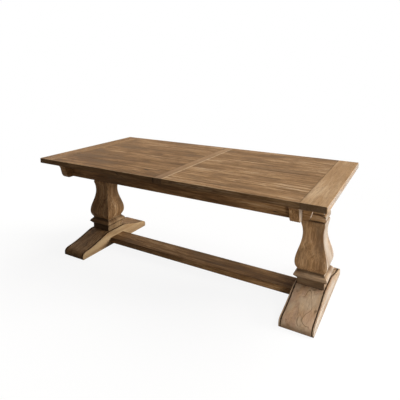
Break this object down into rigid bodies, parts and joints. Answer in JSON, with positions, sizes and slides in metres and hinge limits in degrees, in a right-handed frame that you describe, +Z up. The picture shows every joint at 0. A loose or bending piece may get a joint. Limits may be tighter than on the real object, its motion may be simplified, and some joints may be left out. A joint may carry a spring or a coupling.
{
  "type": "extending dining table",
  "caption": "Rectangular wooden dining table whose board top splits and slides apart over two square vase pedestals on arched feet, with a stretcher and a folding leaf stored inside.",
  "frame": {"origin": "on the floor, under the middle of the top", "axes": "+X along the table's length, +Y across it, away from the long side that the picture shows, +Z up"},
  "size_m": [2, 1, 0.77],
  "materials": {
    "top_wood": "waxed, weathered",
    "base_wood": "waxed, weathered",
    "slide_wood": "plain planed",
    "dowel_wood": "plain",
    "steel": "zinc plated",
    "brass": "dull brass"
  },
  "bodies": {
    "base": {"foot_left": "base_wood", "foot_right": "base_wood", "base_block_left": "brass", "base_block_right": "brass", "shaft_left": "base_wood", "shaft_right": "base_wood", "capital_left": "base_wood", "capital_right": "base_wood", "stretcher": "base_wood", "tenon_pegs": "dowel_wood", "tie_rods": "steel", "tie_rod_washers": "steel", "tie_rod_nuts": "steel", "bearer_left": "base_wood", "bearer_right": "base_wood", "rail_front": "base_wood", "rail_rear": "base_wood", "slide_front": "slide_wood", "slide_rear": "slide_wood", "cleat_left": "slide_wood", "cleat_right": "slide_wood", "frame_screws": "steel", "leaf_panel_lower": "top_wood", "leaf_panel_upper": "top_wood", "leaf_hinge_lower_plates": "brass", "leaf_hinge_upper_plates": "brass", "leaf_hinge_pins": "brass", "leaf_hinge_screws": "steel", "leaf_dowels": "dowel_wood"},
    "left_top": {"end_board_left": "top_wood", "left_plank_1": "top_wood", "left_plank_2": "top_wood", "left_plank_3": "top_wood", "left_plank_4": "top_wood", "left_plank_5": "top_wood", "left_plank_6": "top_wood", "left_runner_front": "slide_wood", "left_runner_rear": "slide_wood", "left_batten": "slide_wood", "left_top_screws": "steel", "left_lock_plates": "brass", "left_lock_screws": "steel"},
    "right_top": {"crossband": "top_wood", "right_plank_1": "top_wood", "right_plank_2": "top_wood", "right_plank_3": "top_wood", "right_plank_4": "top_wood", "right_plank_5": "top_wood", "right_plank_6": "top_wood", "end_board_right": "top_wood", "right_runner_front": "slide_wood", "right_runner_rear": "slide_wood", "right_batten": "slide_wood", "right_top_screws": "steel", "right_dowels": "dowel_wood", "right_keepers": "brass", "right_keeper_screws": "steel"},
    "lock_front": {"lock_arm_front": "brass"},
    "lock_rear": {"lock_arm_rear": "brass"}
  },
  "joints": [
    {"name": "left_top_slide", "type": "slide", "parent": "base", "child": "left_top", "axis": [-1, 0, 0], "range_m": [0, 0.26]},
    {"name": "right_top_slide", "type": "slide", "parent": "base", "child": "right_top", "axis": [1, 0, 0], "range_m": [0, 0.26]},
    {"name": "lock_front_swivel", "type": "hinge", "parent": "left_top", "child": "lock_front", "pos_m": [-0.022, -0.44, 0.7317], "axis": [0, 0, -1], "range_deg": [0, 90]},
    {"name": "lock_rear_swivel", "type": "hinge", "parent": "left_top", "child": "lock_rear", "pos_m": [-0.022, 0.44, 0.7317], "axis": [0, 0, 1], "range_deg": [0, 90]}
  ]
}
